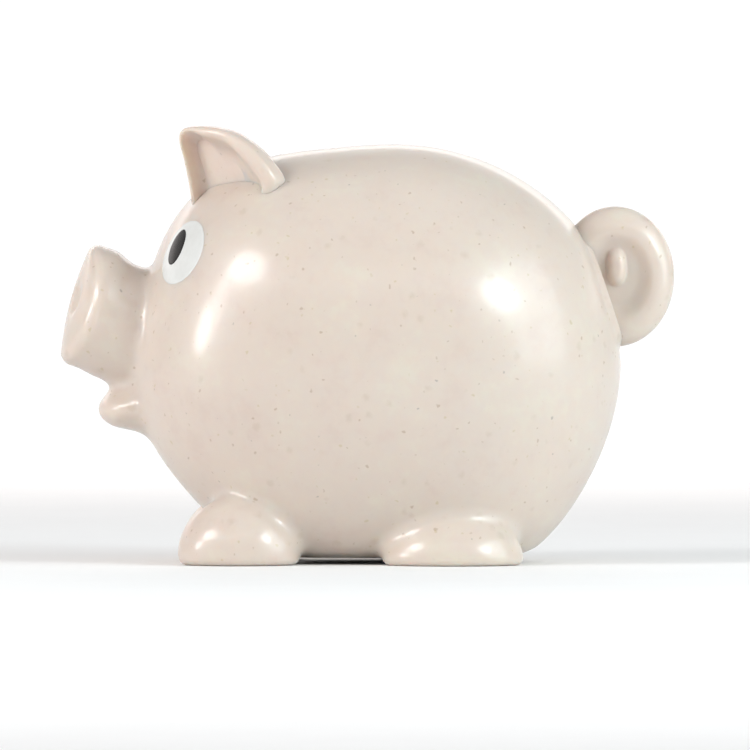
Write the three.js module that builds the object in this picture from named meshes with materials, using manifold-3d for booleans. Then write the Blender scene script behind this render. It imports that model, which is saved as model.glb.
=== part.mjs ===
// A money box in the shape of a standing pig, moulded in a glossy straw-filled plastic.
// Two half shells meet on the plane y = 0. The ears and the curled tail are plugged into the
// shells by pegs, the eyes are inlays flush with the skin, and a soft stopper closes the belly.
// Millimetres, +Z up, snout towards -X, floor at z = 0, origin under the middle of the object.
import * as THREE from "three";
import { mergeVertices } from "three/addons/utils/BufferGeometryUtils.js";
import Module from "manifold-3d";

const wasm = await Module();
wasm.setup();

// ---- driving dimensions ----
const WALL = 2.2; // wall of the shells
const GAP = 0.3; // clearance between a piece and what it sits in
const BELLY_Z = 1.2; // the flat belly clears the floor by this much

const BODY = {
  centre: [2, 38], // x, z of the middle of the torso
  halfWidth: 34, // from the seam to the widest point of a flank
  fullness: 2.2, // 2 is an ellipse across the body, more is boxier
  // distance from the centre to the outline seen from the side, every 22.5 degrees,
  // from the rump (+X) over the back to the face and round the belly
  outline: [
    43.5, 42.7, 40.6, 38.5, 37.2, 38.8, 43.0, 43.6, 44.0, 44.0, 42.5, 42.5, 41.0, 44.0, 45.0, 43.9,
  ],
  bellyRound: 2.5, // rounding between the flat belly and the flanks
  rumpFlat: [42.4, 48.4], // x, z of a point on the small flat that the tail stands on
  rumpTilt: 18.7, // degrees that this flat looks up
  rumpRound: 1.5, // rounding of its edge
};

const SNOUT = {
  front: [-52.5, 46.8], // x, z of the middle of the front face's rim
  tilt: 18.9, // degrees that the snout points up
  faceTilt: 15.2, // degrees that its front face looks up
  length: 30, // from the front face to its end inside the head
  radius: 11.1,
  neckRadius: 10.7,
  neckDrop: 0.9, // the neck's axis lies this much lower than the front's
  neckFrom: 3.5, // the neck runs in between these depths behind the front
  neckTo: 8,
  dome: 1.1, // bulge of the front face from top to bottom
  sideFall: 4.4, // how far the front face falls back at its left and right rim
  edge: 1.7, // rounding of the front rim
  blend: 3, // fillet into the face
};

const LIP = { centre: [-42.6, 27.6], half: [5.9, 8.5, 3.7], blend: 4 };

// the four feet are domes cut flat by the floor: middle and half sizes of each left one
const FEET = [
  { centre: [-23, -18.5, 2.2], half: [10.9, 9, 10] },
  { centre: [15.2, -19.5, 0.6], half: [12.6, 9.5, 9.6] },
];
const FOOT_THROAT = 4; // radius of the opening from a hollow foot into the body

// the raised collar round the tail's root, on the rump's flat
const COLLAR = {
  radius: 8.3, // to the crest of the collar
  bead: 1.4, // radius of the bead itself
  sink: 0.7, // the bead's middle lies this far under the flat
  blend: 1.6,
};

const SLOT = { x: 2, length: 34, width: 4.6 };

const HATCH = {
  x: -3,
  hole: 12.6, // radius, lets the widest coin out flat
  ledge: 2.2, // the stopper's flange rests against a ledge this wide
  seatDepth: 2.2,
  rimWall: 2.2, // wall of the stiffening ring round the seat
  rimHeight: 2.2, // how far the ring stands above the seat
  notch: 4, // radius of the finger notch at the edge of the seat
  segments: 40,
};

const STOPPER = { flange: 1.6, skirtWall: 1.8, skirtHeight: 5.4 };

const POST = { radius: 2.6, pin: 1.2, pinLength: 3, segments: 16 };
// x, z of the posts that line the halves up, just inside the wall
const POST_PLACES = [
  [-29.5, 22.5],
  [-22, 58],
  [29.5, 58.5],
  [35.5, 22.5],
];

const EAR = {
  base: [-23.5, -13.4], // x, y of the middle of the cup's floor, at the skin of the head
  yaw: 38, // degrees that the cup turns from sideways towards the front
  foot: 58, // height at which the ear ends, inside the head
  // outline seen from the side, x and z, from the front of the base over the tip to the rear
  outline: [
    [-29.6, 66], [-31, 71], [-32.1, 76.3], [-30.6, 78.4], [-25.5, 78.2], [-21.6, 76.3],
    [-18.4, 72.6], [-16.3, 68.5], [-16.8, 65],
  ],
  back: 1.9, // thickness behind the cup's floor
  rim: 2.6, // height of the rim over the cup's floor
  rimWidth: 2, // width of the rim round the cup
  peg: 1.8, // radius of the peg that plugs the ear into the shell
  pegLength: 9,
  pegRise: 1, // how far the peg reaches up into the ear
  segments: 16,
};

const TAIL = {
  middle: [44.5, 51.4], // x, z of the middle of the curl
  half: [10.6, 12.6], // half its width and half its height
  ring: 3.6, // half the thickness of the outer turn
  ringWidth: 0.56, // width of the outer turn as a share of the way to the middle
  web: 1.2, // half the thickness of the web inside the turn
  tip: [0.3, 1.7], // x, z of the curl's end from the middle
  tipHalf: [2.1, 3.5], // half its width and half its height
  tipHigh: 3.5, // how far it stands out to each side
  root: 3, // radius of the root that passes through the rump
  flange: 4.6, // radius of the flange behind the wall
  flangeThick: 1.6,
  segments: 20,
};

const EYE = {
  side: [-33.5, 56], // x, z of the middle of the white, on the skin
  white: [6.1, 6.1], // half width and half height, measured on the skin
  pupil: [2.4, 3.5],
  pupilAt: [1.9, 0.9], // the pupil's middle from the white's: towards the snout, and up
  thickness: 0.6,
  segments: 28,
};

const COLOURS = { straw: 0xe4d8ce, stopper: 0xddd3c8, white: 0xe8ecea, pupil: 0x3c3e42 };

// ---- small helpers ----
const rad = THREE.MathUtils.degToRad;
const v3 = (x, y, z) => new THREE.Vector3(x, y, z);
const step = THREE.MathUtils.smoothstep;

/** A closed three.js geometry as a manifold-3d solid. */
function solid(geometry) {
  const bare = geometry.clone();
  for (const name of Object.keys(bare.attributes)) {
    if (name !== "position") bare.deleteAttribute(name);
  }
  const merged = mergeVertices(bare, 1e-4);
  const corners = merged.index.array;
  const faces = [];
  for (let i = 0; i < corners.length; i += 3) {
    const [a, b, c] = [corners[i], corners[i + 1], corners[i + 2]];
    if (a !== b && b !== c && a !== c) faces.push(a, b, c);
  }
  return new wasm.Manifold(
    new wasm.Mesh({
      numProp: 3,
      vertProperties: new Float32Array(merged.attributes.position.array),
      triVerts: new Uint32Array(faces),
    }),
  );
}

/** A manifold-3d solid as a named mesh with its own material. */
function piece(name, made, material) {
  const mesh = made.getMesh();
  const geometry = new THREE.BufferGeometry();
  const places = new Float32Array(mesh.numVert * 3);
  for (let i = 0; i < mesh.numVert; i++) {
    places.set(mesh.vertProperties.subarray(i * mesh.numProp, i * mesh.numProp + 3), i * 3);
  }
  geometry.setAttribute("position", new THREE.BufferAttribute(places, 3));
  geometry.setIndex(new THREE.BufferAttribute(new Uint32Array(mesh.triVerts), 1));
  geometry.computeVertexNormals();
  const object = new THREE.Mesh(geometry, material);
  object.name = name;
  return object;
}

/** An upright cylinder between two heights. */
function upright(radius, low, high, x, y, segments) {
  const geometry = new THREE.CylinderGeometry(radius, radius, high - low, segments);
  geometry.rotateX(Math.PI / 2).translate(x, y, (low + high) / 2);
  return solid(geometry);
}

/** A cylinder along a direction, from one point to another. */
function rod(radius, from, to, segments) {
  const along = to.clone().sub(from);
  const geometry = new THREE.CylinderGeometry(radius, radius, along.length(), segments);
  const turn = new THREE.Quaternion().setFromUnitVectors(v3(0, 1, 0), along.clone().normalize());
  const middle = from.clone().add(to).multiplyScalar(0.5);
  geometry.applyQuaternion(turn).translate(middle.x, middle.y, middle.z);
  return solid(geometry);
}

/** A box between two corners. */
function block(low, high) {
  const geometry = new THREE.BoxGeometry(high[0] - low[0], high[1] - low[1], high[2] - low[2]);
  geometry.translate((low[0] + high[0]) / 2, (low[1] + high[1]) / 2, (low[2] + high[2]) / 2);
  return solid(geometry);
}

// ---- the skin, as a field: negative inside, in millimetres, blended between its lobes ----
/** The smaller of two distances, with a soft fillet of about k where they meet. */
function blendIn(a, b, k) {
  const h = Math.max(k - Math.abs(a - b), 0) / k;
  return Math.min(a, b) - (h * h * k) / 4;
}

/** The larger of two distances, with the corner rounded to radius r. */
function roundOff(a, b, r) {
  return Math.min(Math.max(a, b), -r) + Math.hypot(Math.max(a + r, 0), Math.max(b + r, 0));
}

/** Waves that pass through evenly spaced radii: the amplitudes of each cosine and sine. */
function wavesThrough(radii) {
  const n = radii.length;
  return Array.from({ length: n / 2 + 1 }, (_, k) => {
    const share = (k === 0 || k === n / 2 ? 1 : 2) / n;
    const sum = (wave) => radii.reduce((s, r, i) => s + r * wave((2 * Math.PI * k * i) / n), 0);
    return [share * sum(Math.cos), share * sum(Math.sin)];
  });
}
const outlineWaves = wavesThrough(BODY.outline);

function outlineRadius(angle) {
  return outlineWaves.reduce((r, [c, s], k) => r + c * Math.cos(k * angle) + s * Math.sin(k * angle), 0);
}

const rumpOut = [Math.cos(rad(BODY.rumpTilt)), Math.sin(rad(BODY.rumpTilt))];

/** How far a point lies outside the rump's flat, and how far up along it from its middle. */
function rumpPlane(p) {
  const [dx, dz] = [p.x - BODY.rumpFlat[0], p.z - BODY.rumpFlat[1]];
  return { out: dx * rumpOut[0] + dz * rumpOut[1], up: -dx * rumpOut[1] + dz * rumpOut[0] };
}

function torso(p) {
  const [dx, dz] = [p.x - BODY.centre[0], p.z - BODY.centre[1]];
  const radius = outlineRadius(Math.atan2(dz, dx));
  const e = BODY.fullness;
  const a = Math.hypot(dx, dz) / radius;
  const b = Math.abs(p.y) / BODY.halfWidth;
  const n = Math.max(Math.pow(a ** e + b ** e, 1 / e), 1e-6);
  const slope = Math.hypot((a / n) ** (e - 1) / radius, (b / n) ** (e - 1) / BODY.halfWidth);
  const rump = rumpPlane(p).out;
  return roundOff(roundOff((n - 1) / slope, BELLY_Z - p.z, BODY.bellyRound), rump, BODY.rumpRound);
}

const snoutBack = [Math.cos(rad(SNOUT.tilt)), -Math.sin(rad(SNOUT.tilt))];
const snoutUp = [-snoutBack[1], snoutBack[0]];
const faceBack = [Math.cos(rad(SNOUT.faceTilt)), -Math.sin(rad(SNOUT.faceTilt))];

function snout(p) {
  const [dx, dz] = [p.x - SNOUT.front[0], p.z - SNOUT.front[1]];
  const u = dx * snoutBack[0] + dz * snoutBack[1];
  const v = dx * snoutUp[0] + dz * snoutUp[1];
  const neck = step(u, SNOUT.neckFrom, SNOUT.neckTo);
  const radius = SNOUT.radius + (SNOUT.neckRadius - SNOUT.radius) * neck;
  const side = Math.hypot(v + SNOUT.neckDrop * neck, p.y) - radius;
  const bulge = SNOUT.dome * (1 - (v / SNOUT.radius) ** 2);
  const fall = SNOUT.sideFall * (p.y / SNOUT.radius) ** 2;
  const cap = -(dx * faceBack[0] + dz * faceBack[1]) - bulge + fall;
  return Math.max(roundOff(side, cap, SNOUT.edge), u - SNOUT.length);
}

/** Distance to an ellipsoid, near enough for a blend. */
function lobe(x, y, z, half) {
  const k0 = Math.hypot(x / half[0], y / half[1], z / half[2]);
  const k1 = Math.hypot(x / half[0] ** 2, y / half[1] ** 2, z / half[2] ** 2);
  return k1 < 1e-9 ? -Math.min(...half) : (k0 * (k0 - 1)) / k1;
}

function collar(p) {
  const { out, up } = rumpPlane(p);
  return Math.hypot(Math.hypot(up, p.y) - COLLAR.radius, out + COLLAR.sink) - COLLAR.bead;
}

/** The skin above the feet: torso, snout, lower lip and the collar round the tail. */
function skin(p) {
  const face = blendIn(torso(p), snout(p), SNOUT.blend);
  const lip = lobe(p.x - LIP.centre[0], p.y, p.z - LIP.centre[1], LIP.half);
  return blendIn(blendIn(face, lip, LIP.blend), collar(p), COLLAR.blend);
}

// ---- the skin as a mesh: rays from one point inside that sees all of it ----
const SEEN_FROM = v3(-6.6, 0, 22.4);
const POLE = v3(SNOUT.front[0], 0, SNOUT.front[1]).sub(SEEN_FROM).normalize();
const ABOVE = v3(POLE.z, 0, -POLE.x);
const FINE = { around: 44, along: 40 };
const COARSE = { around: 32, along: 28 };

/** Direction at angle away from the snout, turned round from the top of the back. */
function direction(away, round) {
  return POLE.clone()
    .multiplyScalar(Math.cos(away))
    .addScaledVector(ABOVE, Math.sin(away) * Math.cos(round))
    .addScaledVector(v3(0, 1, 0), Math.sin(away) * Math.sin(round));
}

/** Where the ray leaves the skin, or the surface that lies depth inside it. */
function surfacePoint(dir, depth) {
  let [near, far] = [0, 90];
  for (let i = 0; i < 40; i++) {
    const middle = (near + far) / 2;
    if (skin(SEEN_FROM.clone().addScaledVector(dir, middle)) + depth < 0) near = middle;
    else far = middle;
  }
  return SEEN_FROM.clone().addScaledVector(dir, (near + far) / 2);
}

/** Angles from the snout that split one line of the skin, snout to rump, into equal lengths. */
function evenAngles(round, steps) {
  let angles = Array.from({ length: 161 }, (_, i) => (i / 160) * Math.PI);
  for (let pass = 0; pass < 3; pass++) {
    const points = angles.map((a) => surfacePoint(direction(a, round), 0));
    const run = [0];
    for (let i = 1; i < points.length; i++) run.push(run[i - 1] + points[i].distanceTo(points[i - 1]));
    const count = pass < 2 ? points.length : steps + 1;
    const total = run[run.length - 1];
    let at = 0;
    const evened = [];
    for (let i = 0; i < count; i++) {
      const want = (i / (count - 1)) * total;
      while (at < run.length - 2 && run[at + 1] < want) at++;
      const share = (want - run[at]) / Math.max(run[at + 1] - run[at], 1e-9);
      evened.push(angles[at] + (angles[at + 1] - angles[at]) * Math.min(share, 1));
    }
    angles = evened;
  }
  angles[0] = 0;
  angles[angles.length - 1] = Math.PI;
  return angles;
}

/** The closed surface that lies depth inside the skin, both halves, as a solid. */
function skinSolid(depth, { around, along }) {
  const geometry = new THREE.SphereGeometry(1, around, along);
  const place = geometry.attributes.position;
  for (let i = 0; i <= around / 2; i++) {
    const round = (2 * Math.PI * i) / around;
    evenAngles(round, along).forEach((away, j) => {
      const p = surfacePoint(direction(away, round), depth);
      if (i === 0 || i === around / 2 || j === 0 || j === along) p.y = 0;
      place.setXYZ(j * (around + 1) + i, p.x, p.y, p.z);
      place.setXYZ(j * (around + 1) + around - i, p.x, -p.y, p.z);
    });
  }
  return solid(geometry);
}

const BIG = 100;

/** Everything that make(centre, half) gives for the four feet, joined. */
function forFeet(make) {
  const made = FEET.flatMap(({ centre: [x, y, z], half }) =>
    [1, -1].map((side) => make(v3(x, side * y, z), half)),
  );
  return made.reduce((all, one) => all.add(one));
}

/** The domes of the feet, drawn in by depth. */
function feetSolid(depth) {
  return forFeet((centre, half) => {
    const geometry = new THREE.SphereGeometry(1, 20, 12).rotateX(Math.PI / 2);
    geometry.scale(...half.map((size) => size - depth));
    return solid(geometry.translate(centre.x, centre.y, centre.z));
  });
}

/** The throats through which the hollow feet open into the body. */
function footThroats() {
  const middle = v3(BODY.centre[0], 0, BODY.centre[1]);
  return forFeet((centre) => rod(FOOT_THROAT, centre, centre.clone().lerp(middle, 0.5), 16));
}

const aboveFloor = block([-BIG, -BIG, 0], [BIG, BIG, BIG]);
const aboveBelly = block([-BIG, -BIG, BELLY_Z + WALL], [BIG, BIG, BIG]);
const outer = skinSolid(0, FINE).add(feetSolid(0)).intersect(aboveFloor);
const hollows = skinSolid(WALL, COARSE).add(feetSolid(WALL)).add(footThroats());
const inner = hollows.intersect(aboveBelly);
const clearOfSkin = skinSolid(-GAP, FINE);

/** The point of the skin that is met first when coming from one side, along a line. */
function onSkin(from, to) {
  let [outside, inside] = [0, 1];
  for (let i = 0; i < 40; i++) {
    const middle = (outside + inside) / 2;
    if (skin(from.clone().lerp(to, middle)) > 0) outside = middle;
    else inside = middle;
  }
  return from.clone().lerp(to, outside);
}

/** The outward direction of the skin at a point. */
function skinNormal(p) {
  const h = 0.05;
  const slope = (v) => skin(p.clone().add(v)) - skin(p.clone().sub(v));
  return v3(slope(v3(h, 0, 0)), slope(v3(0, h, 0)), slope(v3(0, 0, h))).normalize();
}

/** A flat outline pushed along w: its corners are given along the directions s and t from at. */
function slab(corners, at, s, t, w, from, to) {
  const shape = new THREE.Shape(corners.map(([a, b]) => new THREE.Vector2(a, b)));
  const geometry = new THREE.ExtrudeGeometry(shape, { depth: to - from, bevelEnabled: false });
  geometry.translate(0, 0, from);
  geometry.applyMatrix4(new THREE.Matrix4().makeBasis(s, t, w).setPosition(at));
  return solid(geometry);
}

// ---- belly hatch and its stopper ----
const seatRadius = HATCH.hole + HATCH.ledge;
const seatTop = BELLY_Z + HATCH.seatDepth;
const rimTop = seatTop + HATCH.rimHeight;

function hatchRim() {
  const radius = seatRadius + HATCH.rimWall;
  return upright(radius, BELLY_Z + WALL / 2, rimTop, HATCH.x, 0, HATCH.segments).intersect(outer);
}

function hatchCuts() {
  const hole = upright(HATCH.hole, -WALL, rimTop + WALL, HATCH.x, 0, HATCH.segments);
  const seat = upright(seatRadius, -WALL, seatTop, HATCH.x, 0, HATCH.segments);
  const notchTop = seatTop - STOPPER.flange / 2;
  const notch = upright(HATCH.notch, -WALL, notchTop, HATCH.x + seatRadius, 0, HATCH.segments / 2);
  return hole.add(seat).add(notch);
}

function stopperSolid() {
  const flangeTop = seatTop - GAP;
  const [flange, skirt] = [seatRadius - GAP, HATCH.hole - GAP];
  const profile = [
    [0, flangeTop - STOPPER.flange],
    [flange, flangeTop - STOPPER.flange],
    [flange, flangeTop],
    [skirt, flangeTop],
    [skirt, flangeTop + STOPPER.skirtHeight],
    [skirt - STOPPER.skirtWall, flangeTop + STOPPER.skirtHeight],
    [skirt - STOPPER.skirtWall, flangeTop],
    [0, flangeTop],
  ].map(([r, z]) => new THREE.Vector2(r, z));
  const geometry = new THREE.LatheGeometry(profile, HATCH.segments);
  geometry.rotateX(Math.PI / 2).translate(HATCH.x, 0, 0);
  return solid(geometry);
}

// ---- coin slot ----
function slotCut() {
  const [half, straight] = [SLOT.width / 2, (SLOT.length - SLOT.width) / 2];
  const low = BODY.centre[1];
  const bar = block([SLOT.x - straight, -half, low], [SLOT.x + straight, half, BIG]);
  const ends = [-straight, straight].map((dx) => upright(half, low, BIG, SLOT.x + dx, 0, 16));
  return bar.add(ends[0]).add(ends[1]);
}

// ---- posts that line the halves up: a pin on the left one, a socket in the right one ----
function posts() {
  const made = POST_PLACES.map(([x, z]) =>
    rod(POST.radius, v3(x, -BODY.halfWidth, z), v3(x, BODY.halfWidth, z), POST.segments),
  );
  return made.reduce((all, one) => all.add(one)).intersect(outer);
}

function pins(grow) {
  const made = POST_PLACES.map(([x, z]) =>
    rod(POST.pin + grow, v3(x, -POST.radius, z), v3(x, POST.pinLength + grow, z), POST.segments),
  );
  return made.reduce((all, one) => all.add(one));
}

// ---- ears: side is -1 for the left ear, 1 for the right one ----
function earPlane(side) {
  const yaw = rad(EAR.yaw);
  const [x, y] = EAR.base;
  return {
    at: v3(x, -side * y, 0),
    s: v3(Math.cos(yaw), side * Math.sin(yaw), 0),
    out: v3(-Math.sin(yaw), side * Math.cos(yaw), 0),
  };
}

/** The ear's outline in its own plane, drawn in by a width all round. */
function earOutline(drawnIn) {
  const across = Math.cos(rad(EAR.yaw));
  const own = EAR.outline.map(([x, z]) => new THREE.Vector2((x - EAR.base[0]) / across, z));
  const smooth = new THREE.SplineCurve(own).getPoints(24);
  const middle = new THREE.Vector2(0, own[0].y);
  const inset = smooth.map((p) => p.clone().add(middle.clone().sub(p).setLength(drawnIn)));
  const [first, last] = [inset[0], inset[inset.length - 1]];
  const low = drawnIn > 0 ? EAR.foot - 1 : EAR.foot;
  return [[first.x, low], ...inset.map((p) => [p.x, p.y]), [last.x, low]];
}

function earSolid(side) {
  const { at, s, out } = earPlane(side);
  const up = v3(0, 0, 1);
  // the right ear's directions are the left one's mirrored, so its outline runs backwards
  const [across, flip] = side < 0 ? [s, 1] : [s.clone().negate(), -1];
  const turned = (corners) => corners.map(([a, b]) => [a * flip, b]);
  const blank = slab(turned(earOutline(0)), at, across, up, out, -EAR.back, EAR.rim);
  const cup = slab(turned(earOutline(EAR.rimWidth)), at, across, up, out, 0, EAR.rim + GAP);
  return blank.subtract(cup).subtract(clearOfSkin).add(earPeg(side, 0));
}

function earPeg(side, grow) {
  const { at, out } = earPlane(side);
  const middle = at.clone().addScaledVector(out, -EAR.back / 2);
  const foot = onSkin(middle.clone().setZ(BIG), middle.clone().setZ(BODY.centre[1]));
  const down = foot.clone().setZ(foot.z - EAR.pegLength - grow);
  return rod(EAR.peg + grow, foot.clone().setZ(foot.z + EAR.pegRise), down, EAR.segments);
}

// ---- tail ----
/** Half the thickness of the curl, at a share of the way from its middle to its edge. */
function tailThickness(share) {
  const ringMiddle = 1 - TAIL.ringWidth / 2;
  const acrossRing = Math.min(Math.abs(share - ringMiddle) / (TAIL.ringWidth / 2), 1);
  const ring = TAIL.ring * Math.sqrt(1 - acrossRing ** 2);
  return share < ringMiddle ? Math.max(ring, TAIL.web) : ring;
}

/** A point at a distance out of the rump's flat, on the axis of the tail's root. */
function onRoot(out) {
  return v3(BODY.rumpFlat[0] + out * rumpOut[0], 0, BODY.rumpFlat[1] + out * rumpOut[1]);
}

function tailSolid() {
  const [width, height] = TAIL.half;
  const curl = new THREE.SphereGeometry(1, 28, 18);
  const place = curl.attributes.position;
  for (let i = 0; i < place.count; i++) {
    const [a, b, c] = [place.getX(i), place.getY(i), place.getZ(i)];
    place.setXYZ(i, width * a, Math.sign(b) * tailThickness(Math.hypot(a, c)), height * c);
  }
  const tip = new THREE.SphereGeometry(1, 16, 12).scale(TAIL.tipHalf[0], TAIL.tipHigh, TAIL.tipHalf[1]);
  const [x, z] = TAIL.middle;
  const turns = solid(curl.translate(x, 0, z));
  const end = solid(tip.translate(x + TAIL.tip[0], 0, z + TAIL.tip[1]));
  const behind = -(WALL + GAP);
  const root = rod(TAIL.root, onRoot(TAIL.ring), onRoot(behind - TAIL.flangeThick), TAIL.segments);
  const flange = rod(TAIL.flange, onRoot(behind), onRoot(behind - TAIL.flangeThick), TAIL.segments);
  return turns.add(end).subtract(clearOfSkin).add(root).add(flange);
}

// ---- eyes: side is -1 for the left eye, 1 for the right one ----
/** A bar with an oval section that stands on the skin where the eye is. */
function eyeBar(side, half, shift, grow) {
  const [x, z] = EYE.side;
  const at = onSkin(v3(x, side * BODY.halfWidth, z), v3(x, 0, z));
  const out = skinNormal(at);
  const up = v3(0, 0, 1).addScaledVector(out, -out.z).normalize();
  const ahead = up.clone().cross(out).multiplyScalar(side);
  at.addScaledVector(ahead, shift[0]).addScaledVector(up, shift[1]);
  const corners = Array.from({ length: EYE.segments }, (_, i) => {
    const turn = (2 * Math.PI * i) / EYE.segments;
    return [side * (half[0] + grow) * Math.cos(turn), (half[1] + grow) * Math.sin(turn)];
  });
  if (side < 0) corners.reverse();
  return slab(corners, at, ahead.clone().multiplyScalar(side), up, out, -2 * WALL, 2 * WALL);
}

const underEye = skinSolid(EYE.thickness, FINE);
const underRecess = skinSolid(EYE.thickness + GAP, FINE);
const eyeSkin = outer.subtract(underEye);

function eyeRecess(side) {
  return eyeBar(side, EYE.white, [0, 0], GAP).subtract(underRecess);
}

function eyeWhite(side) {
  const hole = eyeBar(side, EYE.pupil, EYE.pupilAt, GAP);
  return eyeSkin.intersect(eyeBar(side, EYE.white, [0, 0], 0)).subtract(hole);
}

function eyePupil(side) {
  return eyeSkin.intersect(eyeBar(side, EYE.pupil, EYE.pupilAt, 0));
}

// ---- the two half shells ----
const rootHole = rod(TAIL.root + GAP, onRoot(TAIL.ring), onRoot(-2 * WALL), TAIL.segments);
const hollow = outer
  .subtract(inner)
  .add(posts())
  .add(hatchRim())
  .subtract(hatchCuts())
  .subtract(slotCut())
  .subtract(rootHole)
  .subtract(earPeg(-1, GAP))
  .subtract(earPeg(1, GAP))
  .subtract(eyeRecess(-1))
  .subtract(eyeRecess(1));

function shell(side) {
  const near = GAP / 2;
  const half = side < 0 ? block([-BIG, -BIG, 0], [BIG, -near, BIG]) : block([-BIG, near, 0], [BIG, BIG, BIG]);
  const made = hollow.intersect(half);
  return side < 0 ? made.add(pins(0)) : made.subtract(pins(GAP));
}

// ---- materials and the assembled bank ----
function finish(color, roughness) {
  return new THREE.MeshStandardMaterial({ color, roughness, metalness: 0 });
}

const straw = finish(COLOURS.straw, 0.22);
const soft = finish(COLOURS.stopper, 0.45);
const white = finish(COLOURS.white, 0.25);
const dark = finish(COLOURS.pupil, 0.2);

const bank = new THREE.Group();
for (const [name, side] of [["left", -1], ["right", 1]]) {
  bank.add(
    piece(`${name}_shell`, shell(side), straw),
    piece(`${name}_ear`, earSolid(side), straw),
    piece(`${name}_eye_white`, eyeWhite(side), white),
    piece(`${name}_pupil`, eyePupil(side), dark),
  );
}
bank.add(piece("tail", tailSolid(), straw), piece("belly_stopper", stopperSolid(), soft));

export default bank;
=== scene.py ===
# %% [markdown]
# # A pig-shaped money box in straw-filled plastic
#
# The real thing is injection moulded from a cream plastic with chopped straw in it. Two half
# shells are joined along the middle of the back, a cupped ear is plugged in on each side of the
# head, a curled tail sits in a raised collar on the rump, the eyes are printed, and a soft stopper
# closes the belly. This lesson builds the fine surfaces of those pieces over the CAD frame, which
# fixes every size and place, and then gives them their plastic, a floor, soft lights and a camera.

import bmesh
import bpy
import numpy as np
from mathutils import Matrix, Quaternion, Vector


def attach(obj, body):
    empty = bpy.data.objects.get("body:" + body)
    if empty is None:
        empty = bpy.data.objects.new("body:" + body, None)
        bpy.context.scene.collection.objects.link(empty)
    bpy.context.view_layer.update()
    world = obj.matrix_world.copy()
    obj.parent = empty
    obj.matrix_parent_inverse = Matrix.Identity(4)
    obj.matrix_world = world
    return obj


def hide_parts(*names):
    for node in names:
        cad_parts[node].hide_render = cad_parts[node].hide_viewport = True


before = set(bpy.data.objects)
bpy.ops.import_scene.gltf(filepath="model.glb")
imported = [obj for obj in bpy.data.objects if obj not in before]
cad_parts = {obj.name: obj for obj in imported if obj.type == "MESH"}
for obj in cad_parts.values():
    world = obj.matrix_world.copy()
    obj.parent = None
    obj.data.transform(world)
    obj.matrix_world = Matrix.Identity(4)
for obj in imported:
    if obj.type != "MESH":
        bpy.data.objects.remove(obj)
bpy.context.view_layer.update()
MM = 0.001

# %% [markdown]
# ## A small vocabulary for shapes
#
# The body swells into a snout, a lip and four feet without a crease, so it isn't one function of
# two parameters. It is written as a field instead: a number at each point of space that is
# negative inside, zero on the skin and grows outwards. Two helpers join fields with a soft fillet
# or round the edge where one cuts the other. Everything here works on whole arrays, in millimetres.


# %% Joining and cutting fields
def blend_in(a, b, k):
    """The smaller of two fields, with a fillet: minus a parabola in their difference, k wide."""
    h = np.maximum(k - np.abs(a - b), 0) / k
    return np.minimum(a, b) - h * h * k / 4


def round_off(a, b, r):
    """The larger of two fields, with the corner where both are near zero rounded to radius r."""
    outside = np.hypot(np.maximum(a + r, 0), np.maximum(b + r, 0))
    return np.minimum(np.maximum(a, b), -r) + outside


def smooth(t, low, high):
    """0 below low, 1 above high, and the S-curve 3t^2 - 2t^3 in between."""
    s = np.clip((t - low) / (high - low), 0, 1)
    return s * s * (3 - 2 * s)


def lobe(x, y, z, half):
    """Near distance to an ellipsoid: k(k - 1) over the gradient's length, k its scaled radius."""
    a, b, c = half
    k = np.sqrt((x / a) ** 2 + (y / b) ** 2 + (z / c) ** 2)
    g = np.sqrt((x / a**2) ** 2 + (y / b**2) ** 2 + (z / c**2) ** 2)
    return k * (k - 1) / np.maximum(g, 1e-9)


def tilted(angle):
    """The unit vector in the x, z plane that looks up from +x by an angle in degrees."""
    return np.array([np.cos(np.radians(angle)), np.sin(np.radians(angle))])


# %% [markdown]
# ## The torso
#
# Seen from the side the torso is a rounded closed line round a point in its middle. Sixteen radii,
# one every 22.5 degrees, are enough: a Fourier series passes through them and is smooth in
# between. Across the body the section is a super-ellipse, slightly boxier than an ellipse. The
# belly is cut flat just off the floor, and a small flat on the rump carries the tail.

# %% The torso's field
BELLY_Z = 0.8
CENTRE = (2.0, 38.0)
HALF_WIDTH = 34.0
FULLNESS = 2.2
OUTLINE = [43.5, 42.7, 40.6, 38.5, 37.2, 38.8, 43.0, 43.6, 44.0, 44.0, 42.5, 42.5, 41.0, 44.0, 45.0, 43.9]
WAVES = np.fft.rfft(OUTLINE) / len(OUTLINE)
BELLY_EDGE, RUMP_EDGE = 2.5, 1.5
RUMP_FLAT = (42.4, 48.4)
RUMP_OUT = tilted(18.7)


def outline_radius(angle):
    """Sum of the cosine and sine waves whose values every 22.5 degrees are the radii above."""
    radius = np.full_like(angle, WAVES[0].real)
    for k, wave in enumerate(WAVES[1:], 1):
        share = 1 if k == len(OUTLINE) // 2 else 2
        radius += share * (wave.real * np.cos(k * angle) - wave.imag * np.sin(k * angle))
    return radius


def rump_plane(x, z):
    """How far out of the rump's flat a point lies, and how far up along it."""
    dx, dz = x - RUMP_FLAT[0], z - RUMP_FLAT[1]
    return dx * RUMP_OUT[0] + dz * RUMP_OUT[1], dz * RUMP_OUT[0] - dx * RUMP_OUT[1]


def torso(x, y, z):
    """n - 1 over the slope of n, where n^e = (distance / outline radius)^e + (|y| / width)^e."""
    dx, dz = x - CENTRE[0], z - CENTRE[1]
    radius = outline_radius(np.arctan2(dz, dx))
    a, b = np.hypot(dx, dz) / radius, np.abs(y) / HALF_WIDTH
    n = np.maximum((a**FULLNESS + b**FULLNESS) ** (1 / FULLNESS), 1e-6)
    slope = np.hypot((a / n) ** (FULLNESS - 1) / radius, (b / n) ** (FULLNESS - 1) / HALF_WIDTH)
    body = round_off((n - 1) / slope, BELLY_Z - z, BELLY_EDGE)
    return round_off(body, rump_plane(x, z)[0], RUMP_EDGE)


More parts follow.
